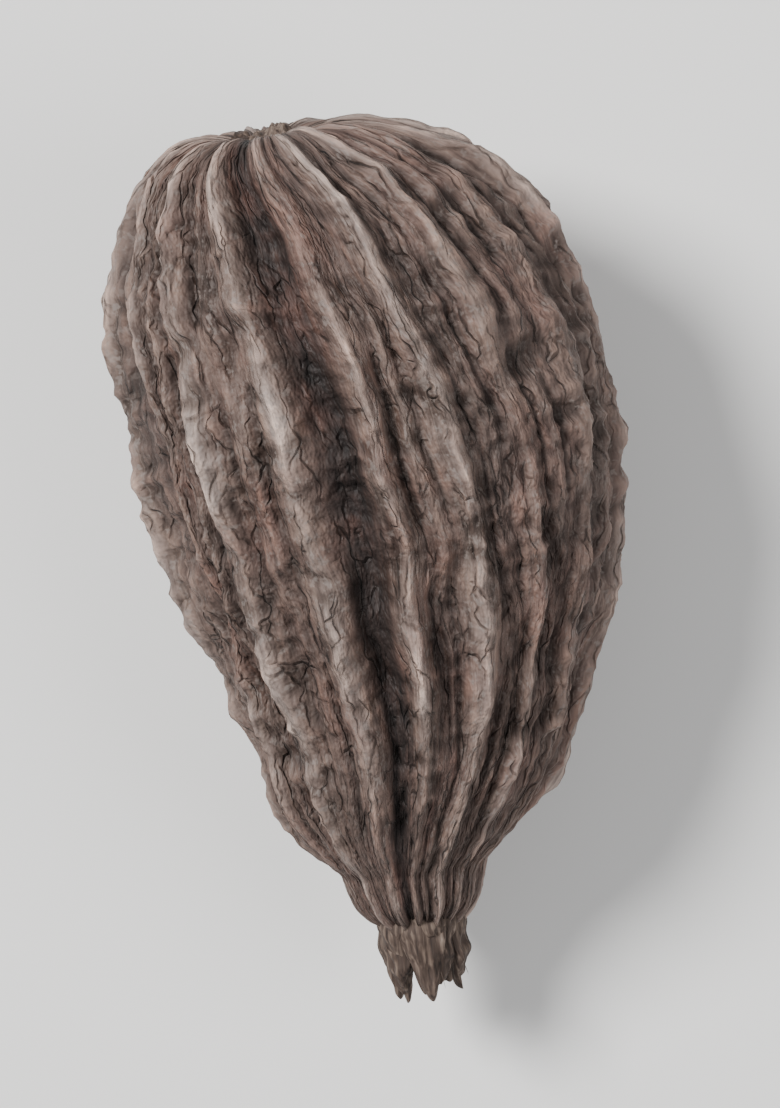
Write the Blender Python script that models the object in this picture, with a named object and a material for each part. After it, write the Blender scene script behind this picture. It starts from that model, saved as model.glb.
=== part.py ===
"""A dried black cardamom pod, lying on its side.

The pod is one grown piece, so it is one object. Its leathery husk is an egg with eighteen
wavy ribs and three deeper seams between its seed chambers. The broad end carries the stub
of the stalk. The narrow end draws out into a short beak that the withered calyx crowns.

The long axis lies along Y with the stalk at +Y. The pod rests on a small flat spot in the
plane z = 0, and the origin is in that plane, under the middle of the whole pod. Metres,
+Z up.
"""

import math
import random
from collections import namedtuple

import bmesh
import bpy
from mathutils import Matrix, Vector, noise

# A wave of smooth noise: its size, its turns round the pod, its length, and where it starts
Wave = namedtuple("Wave", "size turns length start")

# The husk: an egg with a slight bend and three soft lobes. Where it narrows below the second
# share of its width the ribs sink, and below the first they are gone.
BODY_LENGTH = 0.0275
BODY_WIDTH = 0.0160
BODY_HEIGHT = 0.0144
EGG_TAPER = 0.26
EGG_BLUNTNESS = 2.3
BODY_BEND = 0.0012
BEND_SKEW = 1.5
STALK_SIDEWAYS = 0.0013
STALK_UPWARDS = 0.0007
STALK_REACH = 0.16 * BODY_LENGTH
LOBE_SHARE = 0.035
PLAIN_WIDTH = 0.22
FULL_WIDTH = 0.84

# The beak that the narrow end draws out into
BEAK_LENGTH = 0.0024
BEAK_RADIUS = 0.0018
BEAK_TAPER = 5.5
BEAK_STARTS = 0.60 * BODY_LENGTH
BEAK_ROUNDING = 0.0014
BEAK_BLEND = 2.4
BEAK_RIBS = 0.20

# Ribs, small ribs and seams, as heights above the smooth egg. Widths are shares of a rib.
RIB_COUNT = 18
RIB_HEIGHT = 0.00085
RIB_EVENNESS = 0.78
RIB_SWELL = 0.60
RIB_SWELL_LENGTH = 0.0050
RIB_SHARPNESS = 2.2
SMALL_RIB_HEIGHT = 0.00042
SMALL_RIB_WIDTH = 0.13
SMALL_RIB_LENGTH = 0.0090
SEAM_EVERY = 6
SEAM_DEPTH = 0.00055
SEAM_WIDTH = 0.22

# How the ribs lean, crowd and waver, in radians
RIB_LEAN = math.radians(7)
RIB_TURN = math.radians(11)
CROWDING = Wave(0.13, 1.9, 0.030, 0.0)
DRIFT = Wave(0.10, 1.1, 0.010, 5.0)
WAVER = Wave(0.035, 2.6, 0.0034, 9.0)

# Broad dents and creases, and the flank where the husk has dried taut
DENTS = Wave(0.00040, 1.3, 0.0055, 20.0)
CREASES = Wave(0.00026, 4.2, 0.0030, 30.0)
TAUT_SHARE = 0.62
TAUT_COLUMN = math.radians(58)
TAUT_WIDTH = math.radians(24)
TAUT_MIDDLE = 0.5 * BODY_LENGTH
TAUT_LENGTH = 0.4 * BODY_LENGTH

# The stub of the stalk, in a dimple at the broad end
STALK_SIDES = 18
STALK_RADIUS = 0.00135
STALK_PROUD = 0.0005
STALK_SUNK = 0.0018
STALK_DIMPLE = 0.0011
DIMPLE_RADIUS = 1.4 * STALK_RADIUS
STALK_FLARE = 1.15
STALK_TIP = 0.90
STALK_FLUTE = 0.13
STALK_TORN = 0.5 * STALK_PROUD

# The withered calyx: pointed lobes that stand on the blunt end of the beak
CALYX_LOBES = 9
CALYX_SIDES = 8
CALYX_RINGS = 7
CALYX_RING = 0.00120
CALYX_PROUD = 0.0023
CALYX_SUNK = 0.0024
CALYX_WIDTH = 0.0018
CALYX_THICKNESS = 0.0010
CALYX_CURL = 0.0005
CALYX_UNEVENNESS = 0.25
CALYX_SHORTEST = 0.50
CALYX_SPLAY = 0.24
CALYX_SEED = 12

# How the pod lies: its narrow end dips, and its underside is pressed flat
MIDDLE_ALONG = 0.01624
MIDDLE_ACROSS = 0.00081
DIP = math.radians(7.2)
REST_PRESS = 0.00010
REST_RELIEF = 0.70
REST_FADE = 0.0014

# How finely the husk is divided
COLUMNS_PER_RIB = 6
RINGS = 41

TOTAL_LENGTH = BODY_LENGTH + BEAK_LENGTH
LEAN_REACH = 0.36 * TOTAL_LENGTH
FULL_TURN = 2 * math.pi
RIB_STEP = FULL_TURN / RIB_COUNT
LYING = Matrix.Rotation(DIP, 3, "X")
NODE_NAME = "pod"
HUSK_COLOUR = (0.105, 0.068, 0.052, 1.0)
HUSK_ROUGHNESS = 0.72


def ease(low, high, value):
    """0 below low, 1 above high, and a smooth rise between them."""
    share = min(1.0, max(0.0, (value - low) / (high - low)))
    return share * share * (3 - 2 * share)


def bell(distance, width):
    """1 at distance 0, falling away over width on both sides."""
    return math.exp(-((distance / width) ** 2))


def grain(angle, turns, along):
    """Smooth noise from -1 to 1 that closes on itself round the pod."""
    return noise.noise(Vector((turns * math.cos(angle), turns * math.sin(angle), along)))


def swell(wave, column, along):
    """A smooth wave at one place on the husk."""
    return wave.size * grain(column, wave.turns, wave.start + along / wave.length)


def fold(wave, column, along):
    """A wave with sharp crests, one wherever the smooth noise passes zero."""
    return wave.size * (0.5 - 2 * abs(grain(column, wave.turns, wave.start + along / wave.length)))


# The long section


def egg(station):
    """Size of the egg at a station, from -1 at the stalk to 1 at the narrow end."""
    return math.sqrt(max(0.0, 1 - abs(station) ** EGG_BLUNTNESS)) * (1 - EGG_TAPER * station)


WIDEST_EGG = max(egg(step / 200) for step in range(-200, 201))


def beak_radius(along):
    """Radius of the beak, which grows out of the narrow half and ends bluntly."""
    grown = ease(BEAK_STARTS, BODY_LENGTH, along)
    to_the_end = TOTAL_LENGTH - along
    into_rounding = max(0.0, 1 - to_the_end / BEAK_ROUNDING)
    blunt_end = math.sqrt(max(0.0, 1 - into_rounding**2))
    return BEAK_RADIUS * grown * (1 + BEAK_TAPER * to_the_end / TOTAL_LENGTH) * blunt_end


def half_size(along, full_size):
    """Half the size across at a distance from the stalk end, with body and beak run together."""
    station = min(1.0, 2 * along / BODY_LENGTH - 1)
    body = egg(station) / WIDEST_EGG * full_size / 2
    return (body**BEAK_BLEND + beak_radius(along) ** BEAK_BLEND) ** (1 / BEAK_BLEND)


def along_of(share):
    """Distance from the stalk end of a ring, with the rings closer together at both ends."""
    return TOTAL_LENGTH * (0.25 * (1 - math.cos(math.pi * share)) + 0.5 * share)


def fullness(along):
    """1 on the full body, falling to 0 where the pod narrows and its ribs crowd together."""
    return ease(PLAIN_WIDTH, FULL_WIDTH, half_size(along, BODY_WIDTH) / (BODY_WIDTH / 2))


# Ribs, seams and wrinkles. A column is an angle round the pod, from the seam on top towards
# +X, before the ribs waver: what follows a rib keeps to its column.


def wandered(column, along):
    """The true angle of a column, which leans and wavers as the ribs do."""
    lean = RIB_TURN + RIB_LEAN * (1 - ease(0.0, LEAN_REACH, along))
    return column - lean + sum(swell(wave, column, along) for wave in (CROWDING, DRIFT, WAVER))


def rib_relief(column, along):
    """Height of the ribs, of the small ribs between them, and of the seams."""
    place = column / RIB_STEP - 0.5
    rib = math.floor(place + 0.5)
    offset = place - rib
    crest = (0.5 + 0.5 * math.cos(FULL_TURN * offset)) ** RIB_SHARPNESS
    lie = Vector((3.7 * (rib % RIB_COUNT), along / RIB_SWELL_LENGTH, 1.5))
    height = RIB_HEIGHT * (RIB_EVENNESS + RIB_SWELL * noise.noise(lie)) * crest

    furrow = (rib + (1 if offset > 0 else 0)) % RIB_COUNT
    from_furrow = 0.5 - abs(offset)
    if furrow % SEAM_EVERY == 0:
        return height - SEAM_DEPTH * bell(from_furrow, SEAM_WIDTH)
    lie = Vector((5.3 * furrow, along / SMALL_RIB_LENGTH, 7.5))
    presence = ease(-0.35, 0.35, noise.noise(lie))
    return height + SMALL_RIB_HEIGHT * presence * bell(from_furrow, SMALL_RIB_WIDTH)


def tautness(column, along):
    """Share of its height that a rib keeps: along one flank the husk has dried taut."""
    on_flank = bell(column - TAUT_COLUMN, TAUT_WIDTH) * bell(along - TAUT_MIDDLE, TAUT_LENGTH)
    return 1 - TAUT_SHARE * on_flank


def relief(column, along):
    """Height of everything that stands on the smooth egg, at one place on the husk."""
    full = fullness(along)
    on_beak = BEAK_RIBS * ease(BEAK_STARTS, BODY_LENGTH, along)
    ribs = rib_relief(column, along) * tautness(column, along) * max(full, on_beak)
    shrunken = swell(DENTS, column, along) + fold(CREASES, column, along)
    return ribs + shrunken * full


def smooth_point(column, along):
    """A place on the husk before its ribs are raised, in the lying pod's directions."""
    angle = wandered(column, along)
    lobe = 1 - LOBE_SHARE * fullness(along) * math.cos(3 * angle)
    across = half_size(along, BODY_WIDTH) * lobe
    height = half_size(along, BODY_HEIGHT) * lobe
    bend = BODY_BEND * math.sin(math.pi * min(1.0, along / BODY_LENGTH) ** BEND_SKEW)
    near_stalk = 1 - ease(0.0, STALK_REACH, along)
    dimple = STALK_DIMPLE * bell(across, DIMPLE_RADIUS) * near_stalk
    sideways = bend - STALK_SIDEWAYS * near_stalk + across * math.sin(angle)
    upwards = STALK_UPWARDS * near_stalk + height * math.cos(angle)
    return LYING @ Vector((sideways - MIDDLE_ACROSS, MIDDLE_ALONG - along - dimple, upwards))


# The solids


def husk():
    """The husk as a bmesh, and how far it was lowered to bring its flat spot to z = 0."""
    bm = bmesh.new()
    columns = RIB_COUNT * COLUMNS_PER_RIB
    bmesh.ops.create_uvsphere(bm, u_segments=columns, v_segments=RINGS, radius=1.0)
    places = {}
    for vert in bm.verts:
        column = math.atan2(vert.co.y, vert.co.x) % FULL_TURN
        share = math.acos(max(-1.0, min(1.0, vert.co.z))) / math.pi
        places[vert] = (column, along_of(share))
    for vert, (column, along) in places.items():
        vert.co = smooth_point(column, along)
    bm.normal_update()

    floor = min(vert.co.z for vert in bm.verts) + REST_PRESS
    for vert, (column, along) in places.items():
        kept = REST_RELIEF + (1 - REST_RELIEF) * ease(0.0, REST_FADE, vert.co.z - floor)
        vert.co += vert.normal * relief(column, along) * kept
        vert.co.z = max(0.0, vert.co.z - floor)
    return bm, floor


def place(bm, sideways, direction, middle):
    """Turns a bmesh that stands along +Z to a direction, its +X sideways, and moves it."""
    axes = Matrix((sideways, direction.cross(sideways), direction)).transposed().to_4x4()
    bmesh.ops.transform(bm, matrix=Matrix.Translation(middle) @ axes, verts=bm.verts)


def stalk_stub(floor):
    """A short fluted stub, sunk into the dimple at the broad end and torn off unevenly."""
    bm = bmesh.new()
    bmesh.ops.create_cone(
        bm,
        cap_ends=True,
        segments=STALK_SIDES,
        radius1=STALK_RADIUS * STALK_FLARE,
        radius2=STALK_RADIUS * STALK_TIP,
        depth=STALK_SUNK + STALK_PROUD,
    )
    for vert in bm.verts:
        angle = math.atan2(vert.co.y, vert.co.x)
        flute = 1 + STALK_FLUTE * (math.cos(STALK_SIDES / 3 * angle) + grain(angle, 1.6, 4.0))
        torn = STALK_TORN * grain(angle, 1.4, 3.0) if vert.co.z > 0 else 0.0
        vert.co = Vector((vert.co.x * flute, vert.co.y * flute, vert.co.z + torn))
    outward = LYING @ Vector((0.0, 1.0, 0.0))
    end = smooth_point(0.0, 0.0) - Vector((0.0, 0.0, floor))
    place(bm, Vector((1.0, 0.0, 0.0)), outward, end + outward * (STALK_PROUD - STALK_SUNK) / 2)
    return bm


def calyx_lobe(number, draw, floor):
    """One withered lobe: a pointed blade that curls in, its root sunk in the end of the beak."""
    angle = FULL_TURN * number / CALYX_LOBES + draw.uniform(-CALYX_UNEVENNESS, CALYX_UNEVENNESS)
    proud = CALYX_PROUD * draw.uniform(CALYX_SHORTEST, 1.0)
    splay = draw.uniform(0.0, CALYX_SPLAY)
    curl = CALYX_CURL * draw.uniform(0.2, 1.0)
    bm = bmesh.new()
    bmesh.ops.create_uvsphere(bm, u_segments=CALYX_SIDES, v_segments=CALYX_RINGS, radius=1.0)
    for vert in bm.verts:
        share = (vert.co.z + 1) / 2
        across = vert.co.x * CALYX_WIDTH / 2 * (1.1 - 0.4 * share)
        through = vert.co.y * CALYX_THICKNESS / 2 * (1.1 - 0.3 * share)
        vert.co = Vector((across, through - curl * share**2, share * (CALYX_SUNK + proud)))
    outward = Vector((math.sin(angle), 0.0, math.cos(angle)))
    direction = (Vector((0.0, -1.0, 0.0)) + splay * outward).normalized()
    root = Vector((-MIDDLE_ACROSS, MIDDLE_ALONG - TOTAL_LENGTH, 0.0)) + CALYX_RING * outward
    start = LYING @ (root - direction * CALYX_SUNK) - Vector((0.0, 0.0, floor))
    sideways = outward.cross(direction).normalized()
    place(bm, LYING @ sideways, LYING @ direction, start)
    return bm


def object_from(bm, name, collection):
    """A new object in a collection, made from a bmesh, which is freed."""
    mesh = bpy.data.meshes.new(name)
    bm.to_mesh(mesh)
    bm.free()
    made = bpy.data.objects.new(name, mesh)
    collection.objects.link(made)
    return made


def fuse(pod, additions):
    """Joins every object of a collection to the pod as one body, and removes them."""
    union = pod.modifiers.new("grown_together", "BOOLEAN")
    union.operation = "UNION"
    union.operand_type = "COLLECTION"
    union.collection = additions
    union.solver = "EXACT"
    bpy.context.view_layer.objects.active = pod
    bpy.ops.object.modifier_apply(modifier=union.name)
    for piece in list(additions.objects):
        bpy.data.objects.remove(piece)
    bpy.data.collections.remove(additions)


def husk_material():
    material = bpy.data.materials.new("dried_husk")
    material.use_nodes = True
    shader = material.node_tree.nodes["Principled BSDF"]
    shader.inputs["Base Color"].default_value = HUSK_COLOUR
    shader.inputs["Roughness"].default_value = HUSK_ROUGHNESS
    shader.inputs["Metallic"].default_value = 0.0
    return material


def new_collection(name):
    made = bpy.data.collections.new(name)
    bpy.context.scene.collection.children.link(made)
    return made


def main():
    for old in list(bpy.data.objects):
        bpy.data.objects.remove(old)
    parts = new_collection("black_cardamom_pod")
    additions = new_collection("stalk_and_calyx")

    bm, floor = husk()
    pod = object_from(bm, NODE_NAME, parts)
    object_from(stalk_stub(floor), "stalk_stub", additions)
    draw = random.Random(CALYX_SEED)
    for number in range(CALYX_LOBES):
        object_from(calyx_lobe(number, draw, floor), f"calyx_lobe_{number}", additions)
    fuse(pod, additions)

    pod.data.materials.append(husk_material())
    pod.data.shade_smooth()
    pod.data.set_sharp_from_angle(angle=math.radians(50))


main()
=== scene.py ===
# %% [markdown]
# # A dried black cardamom pod
# Black cardamom is dried over a smoky fire. The leathery husk shrinks onto its seeds, and
# what is left is an egg of dark, dusty brown skin with sharp wavy ribs. We model it lying on
# its side, with the stalk end at +Y, and look at it from straight above.

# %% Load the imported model
import math
import random
from collections import namedtuple

import bmesh
import bpy
from mathutils import Matrix, Vector, noise


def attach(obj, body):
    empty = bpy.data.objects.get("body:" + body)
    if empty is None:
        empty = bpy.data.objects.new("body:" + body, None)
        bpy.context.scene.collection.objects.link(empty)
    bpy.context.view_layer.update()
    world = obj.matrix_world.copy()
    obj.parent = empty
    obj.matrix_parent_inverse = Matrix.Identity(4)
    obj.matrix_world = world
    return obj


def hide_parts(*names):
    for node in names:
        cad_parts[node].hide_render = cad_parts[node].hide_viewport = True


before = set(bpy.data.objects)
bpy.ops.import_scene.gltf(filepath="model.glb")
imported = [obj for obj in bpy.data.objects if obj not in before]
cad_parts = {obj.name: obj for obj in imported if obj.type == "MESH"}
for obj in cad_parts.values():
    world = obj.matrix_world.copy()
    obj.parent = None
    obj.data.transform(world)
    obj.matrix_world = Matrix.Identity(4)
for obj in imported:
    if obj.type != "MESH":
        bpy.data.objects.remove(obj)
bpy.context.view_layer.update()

# %% [markdown]
# ## Noise that closes on itself
# Nothing on a grown thing is even. Its unevenness could be pushed in by hand with sculpting
# brushes, but a formula gives the same pod each time and can be tuned by its numbers. We read
# Blender's smooth noise on a circle, so that it meets itself again after one turn round the
# pod and leaves no join. Its absolute value has a sharp line wherever the noise passes zero,
# which is just what a crease or a taut thread looks like.


# %% Ease, bell and waves of noise
# A wave has its size, how busy it is round the pod, its length, and where it starts.
Wave = namedtuple("Wave", "size turns length start")
FULL_TURN = 2 * math.pi


def ease(low, high, value):
    share = min(1.0, max(0.0, (value - low) / (high - low)))
    return share * share * (3 - 2 * share)


def bell(distance, width):
    return math.exp(-((distance / width) ** 2))


def grain(angle, turns, along):
    return noise.noise(Vector((turns * math.cos(angle), turns * math.sin(angle), along)))


def swell(wave, column, along):
    return wave.size * grain(column, wave.turns, wave.start + along / wave.length)


def fold(wave, column, along, level=0.5):
    return wave.size * (level - 2 * abs(grain(column, wave.turns, wave.start + along / wave.length)))


print("Halfway up an ease:", ease(0.0, 1.0, 0.5), "and at one width of a bell:", round(bell(1, 1), 2))

# %% [markdown]
# ## The smooth egg
# Seen from the side the pod is an egg: blunt where the stalk was, narrow where the flower
# was. It could be a sphere pulled about with a lattice. A circle whose half-width is
# multiplied by a slope is simpler, and has one number for its taper. The short beak is a
# second shape, and a power sum runs the two together without a crease. The plain solid was
# made from the same sizes, so the two lie on one another.

# %% Sizes of the body and the beak
BODY_LENGTH = 0.0275
BODY_WIDTH = 0.0160
BODY_HEIGHT = 0.0144
EGG_TAPER = 0.26
EGG_BLUNTNESS = 2.3
BEAK_LENGTH = 0.0024
BEAK_RADIUS = 0.0018
BEAK_TAPER = 5.5
BEAK_STARTS = 0.60 * BODY_LENGTH
BEAK_ROUNDING = 0.0014
BEAK_BLEND = 2.4
TOTAL_LENGTH = BODY_LENGTH + BEAK_LENGTH
PLAIN_WIDTH = 0.22
FULL_WIDTH = 0.84
print("The body is", round(1000 * BODY_LENGTH, 1), "mm long and the beak", round(1000 * BEAK_LENGTH, 1))


# %% Half the width at each distance from the stalk
def egg(station):
    return math.sqrt(max(0.0, 1 - abs(station) ** EGG_BLUNTNESS)) * (1 - EGG_TAPER * station)


WIDEST_EGG = max(egg(step / 200) for step in range(-200, 201))


def beak_radius(along):
    grown = ease(BEAK_STARTS, BODY_LENGTH, along)
    to_the_end = TOTAL_LENGTH - along
    into_rounding = max(0.0, 1 - to_the_end / BEAK_ROUNDING)
    blunt_end = math.sqrt(max(0.0, 1 - into_rounding**2))
    return BEAK_RADIUS * grown * (1 + BEAK_TAPER * to_the_end / TOTAL_LENGTH) * blunt_end


def half_size(along, full_size):
    station = min(1.0, 2 * along / BODY_LENGTH - 1)
    body = egg(station) / WIDEST_EGG * full_size / 2
    return (body**BEAK_BLEND + beak_radius(along) ** BEAK_BLEND) ** (1 / BEAK_BLEND)


# The ribs stand at full height on the body and sink away where the pod narrows.
def fullness(along):
    return ease(PLAIN_WIDTH, FULL_WIDTH, half_size(along, BODY_WIDTH) / (BODY_WIDTH / 2))


widest = max(half_size(TOTAL_LENGTH * step / 100, BODY_WIDTH) for step in range(101))
print("The smooth egg is", round(2000 * widest, 1), "by", round(1000 * TOTAL_LENGTH, 1), "mm")

# %% [markdown]
# ## Where a rib runs
# The ribs of a real pod lean, crowd and waver. Each could be a curve of its own, but then
# they would have to be kept from crossing. Instead we let the angle itself wander: a column
# is an angle before it wanders, and whatever belongs to a rib keeps to its column. The two
# shortest waves are too fine for the plain solid, and make the crests crooked.

# %% How far the columns wander
RIB_COUNT = 18
RIB_STEP = FULL_TURN / RIB_COUNT
RIB_LEAN = math.radians(7)
RIB_TURN = math.radians(11)
LEAN_REACH = 0.36 * TOTAL_LENGTH
CROWDING = Wave(0.13, 1.9, 0.030, 0.0)
DRIFT = Wave(0.10, 1.1, 0.010, 5.0)
WAVER = Wave(0.035, 2.6, 0.0034, 9.0)
KINKS = Wave(0.014, 7.0, 0.0012, 14.0)
BOWS = Wave(0.022, 4.0, 0.0021, 16.0)


def wandered(column, along):
    lean = RIB_TURN + RIB_LEAN * (1 - ease(0.0, LEAN_REACH, along))
    broad = sum(swell(wave, column, along) for wave in (CROWDING, DRIFT, WAVER))
    crooked = swell(KINKS, column, along) + swell(BOWS, column, along)
    return column - lean + broad + crooked * fullness(along)


print("Column 0 lies at", round(math.degrees(wandered(0.0, TOTAL_LENGTH / 2))), "degrees halfway")

# %% [markdown]
# ## How the pod lies
# A pod isn't round: three seed chambers swell it a little, it bows to one side, and its stalk
# end is off the middle with a dimple in it. Its narrow end dips to the floor. All of that
# could be done by bending a finished mesh. Here one function says where any place on the
# smooth husk is, so that the stalk and the calyx can ask it where they grow.

# %% Lobes, bow, dimple and dip
LOBE_SHARE = 0.035
BODY_BEND = 0.0012
BEND_SKEW = 1.5
STALK_SIDEWAYS = 0.0013
STALK_UPWARDS = 0.0007
STALK_REACH = 0.16 * BODY_LENGTH
STALK_RADIUS = 0.00135
STALK_DIMPLE = 0.0011
DIMPLE_RADIUS = 1.4 * STALK_RADIUS
MIDDLE_ALONG = 0.01624
MIDDLE_ACROSS = 0.00081
DIP = math.radians(7.2)
LYING = Matrix.Rotation(DIP, 3, "X")


def smooth_point(column, along):
    angle = wandered(column, along)
    lobe = 1 - LOBE_SHARE * fullness(along) * math.cos(3 * angle)
    across = half_size(along, BODY_WIDTH) * lobe
    height = half_size(along, BODY_HEIGHT) * lobe
    bend = BODY_BEND * math.sin(math.pi * min(1.0, along / BODY_LENGTH) ** BEND_SKEW)
    near_stalk = 1 - ease(0.0, STALK_REACH, along)
    dimple = STALK_DIMPLE * bell(across, DIMPLE_RADIUS) * near_stalk
    sideways = bend - STALK_SIDEWAYS * near_stalk + across * math.sin(angle)
    upwards = STALK_UPWARDS * near_stalk + height * math.cos(angle)
    return LYING @ Vector((sideways - MIDDLE_ACROSS, MIDDLE_ALONG - along - dimple, upwards))


print("The stalk end is at y =", round(1000 * smooth_point(0.0, 0.0).y, 1), "mm")

# %% [markdown]
# ## Ribs, seams and the taut flank
# Each rib is a fold of husk that stood up as the pod dried. We could extrude each one, but a
# raised cosine, made sharper by a power, gives its round foot and narrow crest at once, and
# a noise of its own changes its height along the way. Most furrows hold a small second rib.
# Every sixth one is a seam, where the ripe pod would split, and is deeper. Along one flank
# the husk has dried taut and the ribs are faint.

# %% Heights of the ribs
RIB_HEIGHT = 0.00085
RIB_EVENNESS = 0.78
RIB_SWELL = 0.60
RIB_SWELL_LENGTH = 0.0050
RIB_SHARPNESS = 2.2
BEAK_RIBS = 0.20
SMALL_RIB_HEIGHT = 0.00042
SMALL_RIB_WIDTH = 0.13
SMALL_RIB_LENGTH = 0.0090
SEAM_EVERY = 6
SEAM_DEPTH = 0.00055
SEAM_WIDTH = 0.22
TAUT_SHARE = 0.62
TAUT_COLUMN = math.radians(58)
TAUT_WIDTH = math.radians(24)
TAUT_MIDDLE = 0.5 * BODY_LENGTH
TAUT_LENGTH = 0.4 * BODY_LENGTH
print(RIB_COUNT, "ribs, and a seam after every", SEAM_EVERY)


# %% The relief that the solid has too
def nearest_rib(column):
    place = column / RIB_STEP - 0.5
    rib = math.floor(place + 0.5)
    offset = place - rib
    furrow = (rib + (1 if offset > 0 else 0)) % RIB_COUNT
    return rib % RIB_COUNT, furrow, offset


def rib_relief(column, along):
    rib, furrow, offset = nearest_rib(column)
    crest = (0.5 + 0.5 * math.cos(FULL_TURN * offset)) ** RIB_SHARPNESS
    its_own = noise.noise(Vector((3.7 * rib, along / RIB_SWELL_LENGTH, 1.5)))
    height = RIB_HEIGHT * (RIB_EVENNESS + RIB_SWELL * its_own) * crest

    # A seam lies in its furrow instead of a small rib.
    from_furrow = 0.5 - abs(offset)
    if furrow % SEAM_EVERY == 0:
        return height - SEAM_DEPTH * bell(from_furrow, SEAM_WIDTH)
    comes_and_goes = noise.noise(Vector((5.3 * furrow, along / SMALL_RIB_LENGTH, 7.5)))
    presence = ease(-0.35, 0.35, comes_and_goes)
    return height + SMALL_RIB_HEIGHT * presence * bell(from_furrow, SMALL_RIB_WIDTH)


def tautness(column, along):
    on_flank = bell(column - TAUT_COLUMN, TAUT_WIDTH) * bell(along - TAUT_MIDDLE, TAUT_LENGTH)
    return 1 - TAUT_SHARE * on_flank


tallest = max(rib_relief(0.01 * step, BODY_LENGTH / 2) for step in range(628))
print("Halfway along, the tallest rib is", round(1000 * tallest, 2), "mm")

# %% [markdown]
# ## Notches, cords and creases on a rib
# A dry crest is never a clean line. It is nicked and uneven, a thin cord of fibre runs along
# it, and beside each furrow the skin has folded once more into a narrow crease. A bump in
# the material could fake these, but they show on the outline, so they go into the mesh.

# %% What each rib carries
SMALL_NOTCHES = Wave(0.11, 6.0, 0.0009, 40.0)
LARGE_NOTCHES = Wave(0.165, 3.0, 0.0024, 45.0)
CORD_HEIGHT = 0.00016
CORD_WIDTH = 0.06
CORD_EVENNESS = 0.6
CORD_BEADS = 1.2
CORD_BEAD_LENGTH = 0.0016
CREASE_DEPTH = 0.00018
CREASE_WIDTH = 0.035
CREASE_FROM_FURROW = 0.17
CREASE_SWAY = 0.05
CREASE_LENGTH = 0.0040


def crest_notches(column, along):
    return 1 + swell(SMALL_NOTCHES, column, along) + swell(LARGE_NOTCHES, column, along)


def cords_and_creases(column, along):
    rib, furrow, offset = nearest_rib(column)
    beads = noise.noise(Vector((6.1 * rib, along / CORD_BEAD_LENGTH, 3.5)))
    cord = CORD_HEIGHT * bell(offset, CORD_WIDTH) * (CORD_EVENNESS + CORD_BEADS * beads)
    drift = noise.noise(Vector((4.3 * furrow, along / CREASE_LENGTH, 8.5)))
    beside = 0.5 - abs(offset) - CREASE_FROM_FURROW - CREASE_SWAY * drift
    return cord - CREASE_DEPTH * bell(beside, CREASE_WIDTH) * ease(-0.5, 0.3, drift)


print("A crest's cord is", round(1000 * CORD_HEIGHT, 2), "mm high")

# %% [markdown]
# ## Dents, folds and puckers in the skin
# Between the ribs the skin has shrunk onto the seeds. Long waves leave dents, and shorter
# ones leave folds across the pod, slanted puckers, and threads that run its length. One
# noise with many octaves would be quicker, but every kind has a wave of its own here, so
# that each can be tuned. The folds and puckers also lie in patches, because a pattern that
# is the same everywhere looks printed.

# %% Waves of the skin
DENTS = Wave(0.00040, 1.3, 0.0055, 20.0)
CREASES = Wave(0.00026, 4.2, 0.0030, 30.0)
THREADS = Wave(0.00012, 12.0, 0.0062, 50.0)
FINE_THREADS = Wave(0.00007, 27.0, 0.0038, 60.0)
PUCKER_PATCHES = Wave(1.0, 2.4, 0.0040, 70.0)
PUCKERS = Wave(0.00018, 7.5, 0.0011, 80.0)
PUCKER_SLANT = 48.0
CRINKLES = Wave(0.00009, 15.0, 0.00060, 85.0)
CRINKLE_SLANT = -30.0
PIMPLES = Wave(0.00005, 19.0, 0.00045, 90.0)
FOLD_PATCHES = Wave(1.0, 3.1, 0.0031, 95.0)
FOLDS = Wave(0.00011, 4.6, 0.00085, 100.0)
FINE_LEVEL = 0.33
print("The shortest wave is", round(1000 * PIMPLES.length, 2), "mm long")


# %% The skin's own relief
def shrunken_relief(column, along):
    return swell(DENTS, column, along) + fold(CREASES, column, along)


def threads(column, along):
    coarse = fold(THREADS, column, along, FINE_LEVEL)
    return coarse + fold(FINE_THREADS, column, along, FINE_LEVEL)


def puckers(column, along):
    in_patch = ease(-0.30, 0.25, swell(PUCKER_PATCHES, column, along))
    pucker = fold(PUCKERS, column + PUCKER_SLANT * along, along, FINE_LEVEL)
    crinkle = fold(CRINKLES, column + CRINKLE_SLANT * along, along, FINE_LEVEL)
    return in_patch * pucker + crinkle + swell(PIMPLES, column, along)


def cross_folds(column, along):
    in_patch = ease(-0.35, 0.30, swell(FOLD_PATCHES, column, along))
    return in_patch * fold(FOLDS, column, along, FINE_LEVEL)


print("The deepest kind of fold is", round(1000 * CREASES.size, 2), "mm")

# %% [markdown]
# ## The skin of the husk
# A subdivided box would scatter its mesh lines across the ribs and blur their crests. A
# sphere's rings and columns map onto the pod's rings and ribs, so the lines follow them. We
# start from `create_uvsphere`, move each vertex to its place on the smooth egg, and then
# raise the relief along the normals. The underside is pressed flat where the pod rests. Two
# attributes remember how high each place stands, and a third where it lies on the husk
# before its ribs wander, for the colours.

# %% How finely it is divided, and how it rests
SKIN_COLUMNS = RIB_COUNT * 20
SKIN_RINGS = 266
REST_PRESS = 0.00010
REST_RELIEF = 0.70
REST_FADE = 0.0014
LEAST_FINE_RELIEF = 0.45
FINE_MIDDLE = 0.60
FINE_RANGE = 0.00036


# The rings lie closer together at both ends, where the pod curves most.
def along_of(share):
    return TOTAL_LENGTH * (0.25 * (1 - math.cos(math.pi * share)) + 0.5 * share)


def broad_relief(column, along):
    full = fullness(along)
    on_beak = BEAK_RIBS * ease(BEAK_STARTS, BODY_LENGTH, along)
    ribs = rib_relief(column, along) * crest_notches(column, along) * tautness(column, along)
    return ribs, ribs * max(full, on_beak) + shrunken_relief(column, along) * full


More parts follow.
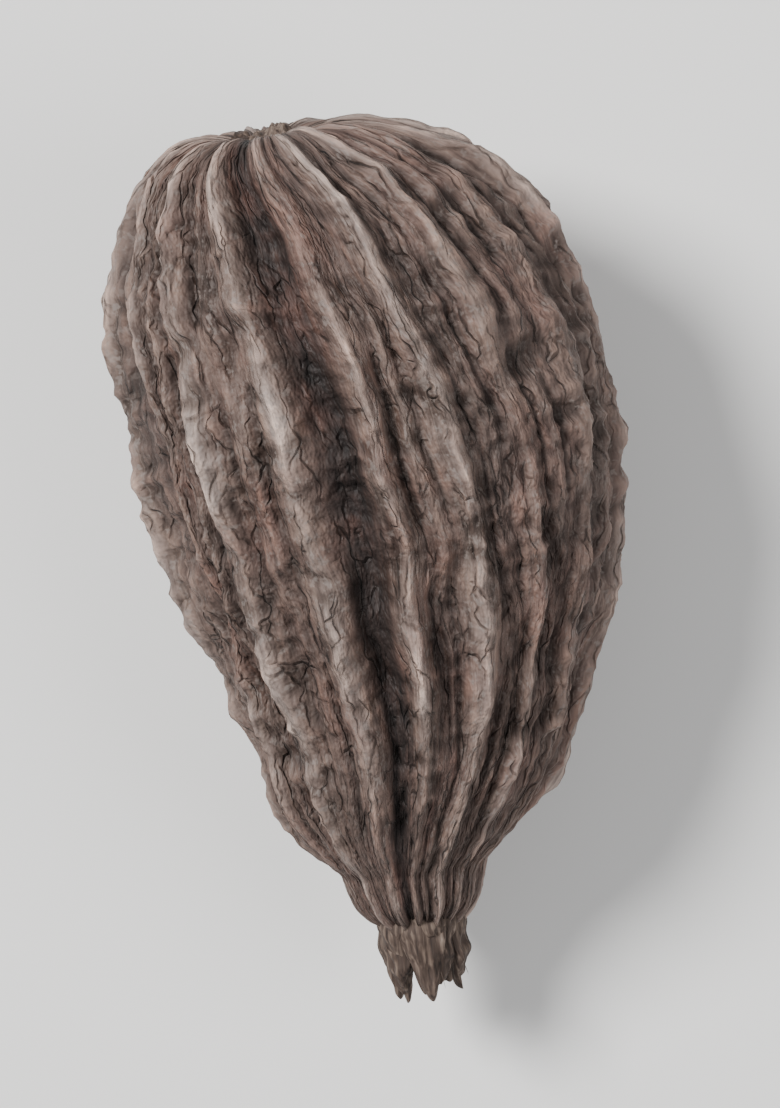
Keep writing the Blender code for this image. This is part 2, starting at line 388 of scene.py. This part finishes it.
def fine_relief(column, along):
    on_ribs = cords_and_creases(column, along) + threads(column, along)
    kept = LEAST_FINE_RELIEF + (1 - LEAST_FINE_RELIEF) * fullness(along)
    return kept * (on_ribs + puckers(column, along) + cross_folds(column, along))


print("One step round the widest ring is", round(1000 * FULL_TURN * widest / SKIN_COLUMNS, 2), "mm")


# %% Shape it
def husk_skin():
    bm = bmesh.new()
    bmesh.ops.create_uvsphere(bm, u_segments=SKIN_COLUMNS, v_segments=SKIN_RINGS, radius=1.0)
    rib_layer = bm.verts.layers.float.new("rib_height")
    fine_layer = bm.verts.layers.float.new("fine_height")
    place_layer = bm.verts.layers.float_vector.new("husk_place")
    places = {}
    for vert in bm.verts:
        column = math.atan2(vert.co.y, vert.co.x) % FULL_TURN
        share = math.acos(max(-1.0, min(1.0, vert.co.z))) / math.pi
        places[vert] = (column, along_of(share))
    for vert, (column, along) in places.items():
        vert.co = smooth_point(column, along)
    bm.normal_update()

    floor = min(vert.co.z for vert in bm.verts) + REST_PRESS
    radius = BODY_WIDTH / 2
    for vert, (column, along) in places.items():
        ribs, broad = broad_relief(column, along)
        fine = fine_relief(column, along)
        kept = REST_RELIEF + (1 - REST_RELIEF) * ease(0.0, REST_FADE, vert.co.z - floor)
        vert.co += vert.normal * (broad * kept + fine)
        vert.co.z = max(0.0, vert.co.z - floor)
        vert[rib_layer] = ribs / RIB_HEIGHT
        vert[fine_layer] = FINE_MIDDLE + fine / FINE_RANGE
        vert[place_layer] = Vector((radius * math.cos(column), radius * math.sin(column), along))
    return bm, floor


skin, floor_height = husk_skin()
print("Husk:", len(skin.verts), "vertices, and the floor at z =", round(1000 * floor_height, 2), "mm")


# %% Make a piece of a bmesh
def piece_from(bm, name):
    mesh = bpy.data.meshes.new(name)
    bm.to_mesh(mesh)
    bm.free()
    mesh.shade_smooth()
    made = bpy.data.objects.new(name, mesh)
    bpy.context.scene.collection.objects.link(made)
    return made


husk = piece_from(skin, "husk")
print("Piece:", husk.name, "with", len(husk.data.polygons), "faces")

# %% [markdown]
# ## The stub of the stalk
# Where the pod was torn from its stalk a low scar of broken fibre is left in the dimple. It
# could be a bundle of small rods, but at this size they would read as a brush. A finely
# divided sphere does better: its sides are drawn out into an uneven column, and its end is
# pulled up and down by two noises, one for the bundles and one for the broken threads.

# %% Sizes of the stub
STALK_PROUD = 0.0005
STALK_SUNK = 0.0018
STALK_FLARE = 1.15
STALK_TAPER = 0.32
STALK_SIDES = 108
STALK_RINGS = 80
STALK_FLUTES = 6
STALK_FLUTE = 0.08
STALK_SWELL = Wave(0.20, 1.6, 1.0, 4.0)
STALK_RIDGES = Wave(0.14, 5.0, 1 / 3.0, 0.0)
STALK_BUNDLE = 0.00085
STALK_BUNDLE_RISE = 1.3
STALK_THREAD = 0.00024
STALK_THREAD_RISE = 0.5
STALK_WORN = 0.45
print("The stub is", round(2000 * STALK_RADIUS, 1), "mm across")


# %% Put a small bmesh in its place
# It stands along +Z when it is made. It is turned to where it grows, and moved there.
def place(bm, sideways, direction, middle):
    axes = Matrix((sideways, direction.cross(sideways), direction)).transposed().to_4x4()
    bmesh.ops.transform(bm, matrix=Matrix.Translation(middle) @ axes, verts=bm.verts)


# Its colours read the place of each vertex before that.
def keep_place(bm):
    place_layer = bm.verts.layers.float_vector.new("husk_place")
    for vert in bm.verts:
        vert[place_layer] = vert.co


# %% Shape the stub
def stalk_stub(floor):
    bm = bmesh.new()
    bmesh.ops.create_uvsphere(bm, u_segments=STALK_SIDES, v_segments=STALK_RINGS, radius=1.0)
    height = STALK_SUNK + STALK_PROUD
    for vert in bm.verts:
        angle = math.atan2(vert.co.y, vert.co.x)
        squared = min(1.0, 1.25 * math.hypot(vert.co.x, vert.co.y))
        share = (vert.co.z + 1) / 2
        flute = 1 + STALK_FLUTE * math.cos(STALK_FLUTES * angle)
        flute += swell(STALK_SWELL, angle, 0.0) + swell(STALK_RIDGES, angle, share)
        size = STALK_RADIUS * (STALK_FLARE - STALK_TAPER * share) * squared * flute
        spot = Vector((size * math.cos(angle), size * math.sin(angle), 0.0))
        torn = STALK_BUNDLE_RISE * noise.noise(spot / STALK_BUNDLE)
        torn += STALK_THREAD_RISE * noise.noise(spot / STALK_THREAD)
        torn -= STALK_WORN * (size / STALK_RADIUS) ** 2
        lift = height * ease(0.12, 0.72, share) + STALK_PROUD * torn * ease(0.5, 0.8, share)
        vert.co = Vector((spot.x, spot.y, lift - height / 2 - 0.1 * STALK_PROUD))
    keep_place(bm)
    outward = LYING @ Vector((0.0, 1.0, 0.0))
    end = smooth_point(0.0, 0.0) - Vector((0.0, 0.0, floor))
    place(bm, Vector((1.0, 0.0, 0.0)), outward, end + outward * (STALK_PROUD - STALK_SUNK) / 2)
    return bm


scar = stalk_stub(floor_height)
print("Stub:", len(scar.verts), "vertices")
stalk = piece_from(scar, "stalk_stub")

# %% [markdown]
# ## The withered calyx
# At the narrow end the dried remains of the flower stand on the beak: a ring of lobes that
# curl in over one another. Flat sheets would need a thickness and would look like paper. A
# sphere that is flattened, drawn out and curled gives a closed, leathery lobe, and noises
# crimp its sides, raise its veins and fray its tip.

# %% Sizes of the calyx
CALYX_LOBES = 9
CALYX_RING = 0.00120
CALYX_PROUD = 0.0023
CALYX_SUNK = 0.0024
CALYX_WIDTH = 0.0018
CALYX_THICKNESS = 0.0010
CALYX_CURL = 0.0005
CALYX_UNEVENNESS = 0.25
CALYX_SHORTEST = 0.50
CALYX_SPLAY = 0.24
CALYX_SEED = 12
LOBE_SIDES = 56
LOBE_RINGS = 48
LOBE_CRIMP = 0.30
LOBE_FRAY = 0.17
VEIN_HEIGHT = 0.00009
VEINS_PER_METRE = 2800
CRUMPLE_HEIGHT = 0.00022
CRUMPLES_PER_METRE = 1100
FRAYS_PER_METRE = 2100
print("A lobe stands up to", round(1000 * CALYX_PROUD, 1), "mm out of the beak")


# %% Stand a small bmesh on the end of the beak
# The first helper adds one small bmesh to another.
def gather(bm, addition):
    mesh = bpy.data.meshes.new("addition")
    addition.to_mesh(mesh)
    addition.free()
    bm.from_mesh(mesh)
    bpy.data.meshes.remove(mesh)


# The second turns it to its direction, sinks it in by a given depth, and adds it.
def plant(bm, addition, angle, ring, splay, sunk, floor):
    outward = Vector((math.sin(angle), 0.0, math.cos(angle)))
    direction = (Vector((0.0, -1.0, 0.0)) + splay * outward).normalized()
    root = Vector((-MIDDLE_ACROSS, MIDDLE_ALONG - TOTAL_LENGTH, 0.0)) + ring * outward
    start = LYING @ (root - direction * sunk) - Vector((0.0, 0.0, floor))
    sideways = outward.cross(direction).normalized()
    keep_place(addition)
    place(addition, LYING @ sideways, LYING @ direction, start)
    gather(bm, addition)


# %% Shape one lobe
def calyx_lobe(bm, number, draw, floor):
    angle = FULL_TURN * number / CALYX_LOBES + draw.uniform(-CALYX_UNEVENNESS, CALYX_UNEVENNESS)
    proud = CALYX_PROUD * draw.uniform(CALYX_SHORTEST, 1.0)
    splay = draw.uniform(0.0, CALYX_SPLAY)
    curl = CALYX_CURL * draw.uniform(0.2, 1.0)
    lobe = bmesh.new()
    bmesh.ops.create_uvsphere(lobe, u_segments=LOBE_SIDES, v_segments=LOBE_RINGS, radius=1.0)
    for vert in lobe.verts:
        share = (vert.co.z + 1) / 2
        side = 1 if vert.co.y > 0 else -1
        crimp = 1 + LOBE_CRIMP * noise.noise(Vector((5.0 * number, vert.co.y, 5.0 * share)))
        across = vert.co.x * CALYX_WIDTH / 2 * (1.1 - 0.4 * share) * crimp
        through = vert.co.y * CALYX_THICKNESS / 2 * (1.1 - 0.3 * share)
        on_vein = Vector((VEINS_PER_METRE * across, 2.0 * share, 4.0 * number))
        veins = 0.5 - 2 * abs(noise.noise(on_vein))
        on_crumple = Vector((CRUMPLES_PER_METRE * across, 7.0 * share, 9.0 * number + side))
        crumple = noise.noise(on_crumple)
        inside_rim = min(1.0, 3 * abs(vert.co.y))
        through += (VEIN_HEIGHT * veins * side + CRUMPLE_HEIGHT * crumple) * inside_rim
        on_fray = Vector((FRAYS_PER_METRE * across, 1.5 * side, 6.0 * number))
        frayed = 1 + LOBE_FRAY * noise.noise(on_fray) * share
        length = share * frayed * (CALYX_SUNK + proud)
        vert.co = Vector((across, through - curl * share**2, length))
    plant(bm, lobe, angle, CALYX_RING, splay, CALYX_SUNK, floor)


# %% Gather the lobes
withered = bmesh.new()
draw = random.Random(CALYX_SEED)
for number in range(CALYX_LOBES):
    calyx_lobe(withered, number, draw, floor_height)
print("Calyx:", CALYX_LOBES, "lobes,", len(withered.verts), "vertices")

# %% [markdown]
# ## Dry threads among the lobes
# A few threads of the flower are left between the lobes. Curves with a bevel would do, but
# they would have to be turned into meshes for the export. A sphere drawn out to a thin
# spindle, with a bend and a kink, is a mesh from the start.

# %% Sizes of the threads
DRY_THREADS = 26
THREAD_RADIUS = 0.00007
THREAD_BEND = 0.00060
THREAD_KINK = 0.35 * THREAD_BEND
THREAD_SUNK = CALYX_PROUD
THREAD_SIDES = 8
THREAD_RINGS = 24
print("A thread is", round(2000 * THREAD_RADIUS, 2), "mm thick")


# %% Shape and gather them
def calyx_thread(bm, draw, floor):
    angle = draw.uniform(0.0, FULL_TURN)
    ring = CALYX_RING * draw.uniform(0.15, 1.10)
    proud = CALYX_PROUD * draw.uniform(0.35, 0.92)
    splay = draw.uniform(-0.15, 0.35)
    bend = THREAD_BEND * draw.uniform(-1.0, 1.0)
    radius = THREAD_RADIUS * draw.uniform(0.7, 1.3)
    thread = bmesh.new()
    bmesh.ops.create_uvsphere(thread, u_segments=THREAD_SIDES, v_segments=THREAD_RINGS, radius=1.0)
    for vert in thread.verts:
        share = (vert.co.z + 1) / 2
        kink = THREAD_KINK * noise.noise(Vector((3.0 * share, 70.0 * angle, 0.0)))
        thickness = radius * (1.1 - 0.8 * share)
        across = vert.co.x * thickness + bend * share**2 + kink
        through = vert.co.y * thickness + kink
        vert.co = Vector((across, through, share * (THREAD_SUNK + proud)))
    plant(bm, thread, angle, ring, splay, THREAD_SUNK, floor)


for number in range(DRY_THREADS):
    calyx_thread(withered, draw, floor_height)
print("With", DRY_THREADS, "threads:", len(withered.verts), "vertices")
calyx = piece_from(withered, "withered_calyx")

# %% [markdown]
# ## Helpers for the finishes
# A finish is a tree of nodes. Written out node by node it would be long and hard to read, so
# a few helpers each add one node, or two, and hand back the output that the next one needs.


# %% A node, a ramp and a mix
# A Mix node has sockets for numbers, vectors and colours. These are the ones for colours.
COLOUR_MIX_INPUTS = (0, 6, 7)
COLOUR_MIX_OUTPUT = 2


def node(tree, kind, **values):
    made = tree.nodes.new(kind)
    for key, value in values.items():
        setattr(made, key, value)
    return made


def ramp(tree, source, stops):
    made = tree.nodes.new("ShaderNodeValToRGB")
    while len(made.color_ramp.elements) < len(stops):
        made.color_ramp.elements.new(0.5)
    for element, (position, colour) in zip(made.color_ramp.elements, stops):
        element.position = position
        element.color = (*colour, 1.0)
    tree.links.new(source, made.inputs[0])
    return made.outputs["Color"]


def blended(tree, blend, factor, first, second):
    made = node(tree, "ShaderNodeMix", data_type="RGBA", blend_type=blend)
    for socket, value in zip(COLOUR_MIX_INPUTS, (factor, first, second)):
        if isinstance(value, (int, float, tuple)):
            made.inputs[socket].default_value = value
        else:
            tree.links.new(value, made.inputs[socket])
    return made.outputs[COLOUR_MIX_OUTPUT]


# %% Numbers: a range, a product and a sum
def spread(tree, source, low, high, to_low, to_high):
    made = node(tree, "ShaderNodeMapRange")
    made.inputs["From Min"].default_value = low
    made.inputs["From Max"].default_value = high
    made.inputs["To Min"].default_value = to_low
    made.inputs["To Max"].default_value = to_high
    tree.links.new(source, made.inputs["Value"])
    return made.outputs["Result"]


def product(tree, first, second):
    made = node(tree, "ShaderNodeMath", operation="MULTIPLY")
    tree.links.new(first, made.inputs[0])
    tree.links.new(second, made.inputs[1])
    return made.outputs[0]


def added(tree, source, share, base):
    made = node(tree, "ShaderNodeMath", operation="MULTIPLY_ADD")
    tree.links.new(source, made.inputs[0])
    made.inputs[1].default_value = share
    tree.links.new(base, made.inputs[2])
    return made.outputs[0]


# %% Noises that are stretched along the ribs
def attribute(tree, name, output="Fac"):
    return node(tree, "ShaderNodeAttribute", attribute_name=name).outputs[output]


# A scale is how many repeats there are to the metre, across the ribs and along them.
def scaled(tree, place_source, scale):
    across, along = scale
    mapping = node(tree, "ShaderNodeMapping")
    mapping.inputs["Scale"].default_value = (across, across, along)
    tree.links.new(place_source, mapping.inputs["Vector"])
    return mapping.outputs[0]


def stretched_noise(tree, place_source, scale, detail=3.0, roughness=0.6):
    texture = node(tree, "ShaderNodeTexNoise")
    texture.inputs["Scale"].default_value = 1.0
    texture.inputs["Detail"].default_value = detail
    texture.inputs["Roughness"].default_value = roughness
    tree.links.new(scaled(tree, place_source, scale), texture.inputs["Vector"])
    return texture.outputs["Fac"]


def folded_noise(tree, place_source, scale):
    texture = node(tree, "ShaderNodeTexNoise", noise_type="RIDGED_MULTIFRACTAL")
    texture.inputs["Scale"].default_value = scale
    texture.inputs["Detail"].default_value = 3.0
    tree.links.new(place_source, texture.inputs["Vector"])
    return texture.outputs["Fac"]


# %% [markdown]
# ## The fine net of creases
# Where the skin is most shrivelled it has split into a net of hair-thin creases. They are
# finer than the mesh, so they belong to the finish: a bump sinks them, and the colour is
# darkened along them as painted shadow. The edges between Voronoi cells make such a net. A
# noise bends them first, because straight edges would look like cut stone.

# %% How fine it is, and how far it is bent
NET_SCALE = (1900, 400)
NET_LINE = 0.075
NET_NOISE_SCALE = 900.0
NET_BEND = (0.0008, 0.0008, 0.0012)
SHRIVELLED_SCALE = (1500, 620)


def crease_net(tree, place_source):
    bent = node(tree, "ShaderNodeTexNoise")
    bent.inputs["Scale"].default_value = NET_NOISE_SCALE
    tree.links.new(place_source, bent.inputs["Vector"])
    shifted = node(tree, "ShaderNodeVectorMath", operation="MULTIPLY_ADD")
    shifted.inputs[1].default_value = NET_BEND
    tree.links.new(bent.outputs["Color"], shifted.inputs[0])
    tree.links.new(place_source, shifted.inputs[2])
    cells = node(tree, "ShaderNodeTexVoronoi", feature="DISTANCE_TO_EDGE")
    cells.inputs["Scale"].default_value = 1.0
    tree.links.new(scaled(tree, shifted.outputs[0], NET_SCALE), cells.inputs["Vector"])
    net = spread(tree, cells.outputs["Distance"], 0.0, NET_LINE, 1.0, 0.0)
    shrivelled = stretched_noise(tree, place_source, SHRIVELLED_SCALE)
    return product(tree, net, spread(tree, shrivelled, 0.40, 0.62, 0.0, 0.85))


mesh_of_net = [round(1000 / repeats, 1) for repeats in NET_SCALE]
print("Across and along, a mesh of the net is about", mesh_of_net, "mm")

# %% [markdown]
# ## The colour of smoked husk
# The colour follows the relief. Furrows are painted a dark, smoky brown, partly the husk's own
# colour and partly painted shade, the crests are rubbed to a dusty grey tan, and here and there
# the skin is redder. The small folds get painted shade in their hollows and painted light on
# their raised parts, and the net of creases gets painted shadow. It could be painted in an
# image, but the attributes that we kept already know the height of each place, and a ramp turns
# height into colour. The noises read the place on the pod before the ribs wander, so their
# streaks follow the ribs.

# %% Its colours, from furrow to crest
# From furrow to crest: the dark furrows are partly painted shade, and the pale crests are rubbed.
FURROW_SHADE_AND_CREST_WEAR = (
    (0.0, (0.021, 0.013, 0.011)),
    (0.30, (0.063, 0.040, 0.033)),
    (0.62, (0.118, 0.081, 0.067)),
    (0.85, (0.192, 0.142, 0.122)),
    (1.0, (0.257, 0.201, 0.176)),
)
RED_SKIN = (0.136, 0.067, 0.052, 1.0)
PALE_THREAD = (0.210, 0.160, 0.133, 1.0)
SMOKE_DUST = (0.192, 0.160, 0.144, 1.0)
# Painted shadow: the colour that darkens the net of creases.
PAINTED_CREASE_SHADOW = (0.40, 0.37, 0.35, 1.0)
STREAK_SHADES = ((0.28, (0.50, 0.48, 0.47)), (0.50, (1.0, 1.0, 1.0)), (0.72, (1.60, 1.56, 1.50)))
# Painted shade and light from the fine relief: darker in its low folds, lighter on its raised parts.
PAINTED_FOLD_SHADE_AND_LIGHT = ((0.10, (0.38, 0.35, 0.33)), (0.50, (0.95, 0.95, 0.95)), (0.90, (1.55, 1.52, 1.48)))
print("A crest is", round(FURROW_SHADE_AND_CREST_WEAR[-1][1][0] / FURROW_SHADE_AND_CREST_WEAR[0][1][0]), "times as light as a furrow")


# %% How fine its patterns are
PATCH_SCALE = (420, 260)
STREAK_SCALE = (4000, 520)
LINE_SCALE = (2100, 95)
DUST_SCALE = (4000, 2900)
GRIT_SCALE = (3800, 1900)
CRUMPLE_SCALE = 1500
LINE_STRENGTH = 0.32
DUST_STRENGTH = 0.55
print("A streak is about", round(1000 / STREAK_SCALE[0], 2), "mm wide")


# %% From height to colour
def husk_colour(tree, on_husk, rib, creases):
    # Darker in the furrows, partly as painted shade, and lighter on the rubbed crests.
    by_rib = ramp(tree, spread(tree, rib, -0.50, 1.0, 0.0, 1.0), FURROW_SHADE_AND_CREST_WEAR)
    patches = stretched_noise(tree, on_husk, PATCH_SCALE, detail=5.0)
    redder = blended(tree, "MIX", spread(tree, patches, 0.50, 0.72, 0.0, 0.45), by_rib, RED_SKIN)
    streaks = stretched_noise(tree, on_husk, STREAK_SCALE, detail=2.0, roughness=0.7)
    streaked = blended(tree, "MULTIPLY", 1.0, redder, ramp(tree, streaks, STREAK_SHADES))
    # Painted shade in the low folds, puckers and creases of the fine relief, and painted light on its
    # raised parts.
    painted_fold_shading = ramp(tree, attribute(tree, "fine_height"), PAINTED_FOLD_SHADE_AND_LIGHT)
    shaded = blended(tree, "MULTIPLY", 1.0, streaked, painted_fold_shading)
    # The net of creases is darkened with painted shadow.
    return blended(tree, "MULTIPLY", creases, shaded, PAINTED_CREASE_SHADOW), streaks


def thread_lines(tree, on_husk):
    lines = stretched_noise(tree, on_husk, LINE_SCALE, detail=2.0, roughness=0.5)
    off_line = node(tree, "ShaderNodeMath", operation="ABSOLUTE")
    tree.links.new(spread(tree, lines, 0.0, 1.0, -0.5, 0.5), off_line.inputs[0])
    return spread(tree, off_line.outputs[0], 0.004, 0.030, 1.0, 0.0)


def threads_and_dust(tree, on_husk, rib, colour):
    raised_skin = spread(tree, rib, -0.10, 0.55, 0.05, 1.0)
    faint = spread(tree, thread_lines(tree, on_husk), 0.0, 1.0, 0.0, LINE_STRENGTH)
    threaded = blended(tree, "MIX", product(tree, faint, raised_skin), colour, PALE_THREAD)
    dust = stretched_noise(tree, on_husk, DUST_SCALE, detail=2.0, roughness=0.75)
    powdered = product(tree, spread(tree, dust, 0.54, 0.64, 0.0, DUST_STRENGTH), raised_skin)
    return blended(tree, "MIX", powdered, threaded, SMOKE_DUST)


# %% Its grain
GRAIN_HEIGHT = 0.00018
CRUMPLE_SHARE = 0.55
CREASE_SHARE = -0.7


def raised(tree, height, distance, strength):
    bump = node(tree, "ShaderNodeBump")
    bump.inputs["Strength"].default_value = strength
    bump.inputs["Distance"].default_value = distance
    tree.links.new(height, bump.inputs["Height"])
    return bump.outputs["Normal"]


def husk_grain(tree, on_husk, creases):
    grit = stretched_noise(tree, on_husk, GRIT_SCALE, detail=2.0, roughness=0.7)
    crumpled = added(tree, folded_noise(tree, on_husk, CRUMPLE_SCALE), CRUMPLE_SHARE, grit)
    return raised(tree, added(tree, creases, CREASE_SHARE, crumpled), GRAIN_HEIGHT, 1.0)


print("The grain is up to", round(1000 * GRAIN_HEIGHT, 2), "mm high")


# %% The finish put together
# Dull all over, and a little smoother on the light streaks.
def new_finish(name, shine):
    material = bpy.data.materials.new(name)
    material.use_nodes = True
    shader = material.node_tree.nodes["Principled BSDF"]
    shader.inputs["Specular IOR Level"].default_value = shine
    return material, material.node_tree, shader


def husk_finish():
    material, tree, shader = new_finish("smoked_husk", 0.35)
    on_husk = attribute(tree, "husk_place", "Vector")
    rib = attribute(tree, "rib_height")
    creases = crease_net(tree, on_husk)
    colour, streaks = husk_colour(tree, on_husk, rib, creases)
    tree.links.new(threads_and_dust(tree, on_husk, rib, colour), shader.inputs["Base Color"])
    tree.links.new(spread(tree, streaks, 0.3, 0.7, 0.82, 0.58), shader.inputs["Roughness"])
    tree.links.new(husk_grain(tree, on_husk, creases), shader.inputs["Normal"])
    return material


smoked_husk = husk_finish()
husk.data.materials.append(smoked_husk)
print("The husk's finish has", len(smoked_husk.node_tree.nodes), "nodes")

# %% [markdown]
# ## The colour of stalk and calyx
# Both are bare fibre, drier and paler than the husk, with dark lines between the threads. One
# long noise gives the threads their light and dark, a broad one soils them in patches, and
# the first one raises them a little as well.

# %% Its colours and how fine they are
FIBRE_COLOURS = (
    (0.30, (0.024, 0.016, 0.013)),
    (0.50, (0.082, 0.057, 0.045)),
    (0.70, (0.215, 0.165, 0.132)),
)
SOILED_SHADES = ((0.35, (0.55, 0.50, 0.47)), (0.65, (1.1, 1.1, 1.1)))
STRAND_SCALE = (5200, 420)
STRAND_HEIGHT = 0.00008
SOIL_SCALE = (900, 500)
print("A strand is about", round(1000 / STRAND_SCALE[0], 2), "mm wide")


# %% The finish of the dry fibre
def fibre_finish():
    material, tree, shader = new_finish("dry_fibre", 0.3)
    on_piece = attribute(tree, "husk_place", "Vector")
    strands = stretched_noise(tree, on_piece, STRAND_SCALE, detail=2.0, roughness=0.65)
    soil = ramp(tree, stretched_noise(tree, on_piece, SOIL_SCALE), SOILED_SHADES)
    colour = blended(tree, "MULTIPLY", 1.0, ramp(tree, strands, FIBRE_COLOURS), soil)
    tree.links.new(colour, shader.inputs["Base Color"])
    shader.inputs["Roughness"].default_value = 0.78
    tree.links.new(raised(tree, strands, STRAND_HEIGHT, 0.7), shader.inputs["Normal"])
    return material


dry_fibre = fibre_finish()
for piece in (stalk, calyx):
    piece.data.materials.append(dry_fibre)
print("The fibre's finish has", len(dry_fibre.node_tree.nodes), "nodes")

# %% [markdown]
# ## What the pieces stand for
# The pod grew as one piece, and it is one node in the plain model. The three pieces made here
# together take its place and move with it. They could be joined into one mesh, but apart
# they are easier to look at and to finish.

# %% Fasten them to the frame
for piece in (husk, stalk, calyx):
    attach(piece, "root")
    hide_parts("pod")
    print(piece.name, "has", len(piece.data.polygons), "faces")

# %% [markdown]
# ## The studio
# A pale floor, a large soft light from the upper left, a weaker one from the right and a
# pale sky. A sun lamp would be simpler, but its hard shadows would fill the furrows with
# black. The lights are large for the size of the pod, so the shadows stay soft.

# %% Floor
FLOOR_COLOUR = (0.80, 0.79, 0.77, 1.0)
FLOOR_REACH = 1.5


def floor_sheet():
    bm = bmesh.new()
    bmesh.ops.create_grid(bm, x_segments=1, y_segments=1, size=FLOOR_REACH)
    made = piece_from(bm, "floor")
    paint = bpy.data.materials.new("pale_floor")
    paint.use_nodes = True
    shader = paint.node_tree.nodes["Principled BSDF"]
    shader.inputs["Base Color"].default_value = FLOOR_COLOUR
    shader.inputs["Roughness"].default_value = 0.9
    made.data.materials.append(paint)
    return made


floor_sheet()
print("The floor is", 2 * FLOOR_REACH, "m wide")


# %% Lights and sky
KEY_PLACE = (-0.22, 0.17, 0.32)
KEY_SIZE = 0.16
KEY_POWER = 3.2
FILL_PLACE = (0.28, -0.10, 0.26)
FILL_SIZE = 0.30
FILL_POWER = 0.8
SKY_COLOUR = (0.93, 0.95, 1.0, 1.0)
SKY_STRENGTH = 0.36


def soft_light(name, position, size, power):
    lamp = bpy.data.lights.new(name, "AREA")
    lamp.shape = "DISK"
    lamp.size = size
    lamp.energy = power
    made = bpy.data.objects.new(name, lamp)
    made.location = position
    made.rotation_euler = (-Vector(position)).to_track_quat("-Z", "Y").to_euler()
    bpy.context.scene.collection.objects.link(made)
    return made


key_light = soft_light("key_light", KEY_PLACE, KEY_SIZE, KEY_POWER)
soft_light("fill_light", FILL_PLACE, FILL_SIZE, FILL_POWER)
sky = bpy.data.worlds.new("pale_sky")
sky.use_nodes = True
sky.node_tree.nodes["Background"].inputs["Color"].default_value = SKY_COLOUR
sky.node_tree.nodes["Background"].inputs["Strength"].default_value = SKY_STRENGTH
bpy.context.scene.world = sky
print("The key light is", round(key_light.location.length, 2), "m away")

# %% [markdown]
# ## The camera
# The photograph looks at the pod's side with its broad end up and leaning a little to the
# left. The pod could be stood up for that, but it would have to be held. It lies down here,
# so the camera looks straight down and is rolled by that lean. It stands about ten pods away,
# which keeps both ends at nearly one scale, as a long lens does.

# %% Look straight down
CAMERA_HEIGHT = 0.34
VIEW_HEIGHT = 0.0395
POD_LEAN = math.radians(8.4)
lens = bpy.data.cameras.new("camera")
lens.lens = lens.sensor_width * (CAMERA_HEIGHT - BODY_HEIGHT / 2) / VIEW_HEIGHT
lens.clip_start = 0.01
camera = bpy.data.objects.new("camera", lens)
camera.location = (0.0, 0.0, CAMERA_HEIGHT)
camera.rotation_euler = (0.0, 0.0, -POD_LEAN)
bpy.context.scene.collection.objects.link(camera)
bpy.context.scene.camera = camera
print("Lens:", round(lens.lens), "mm")
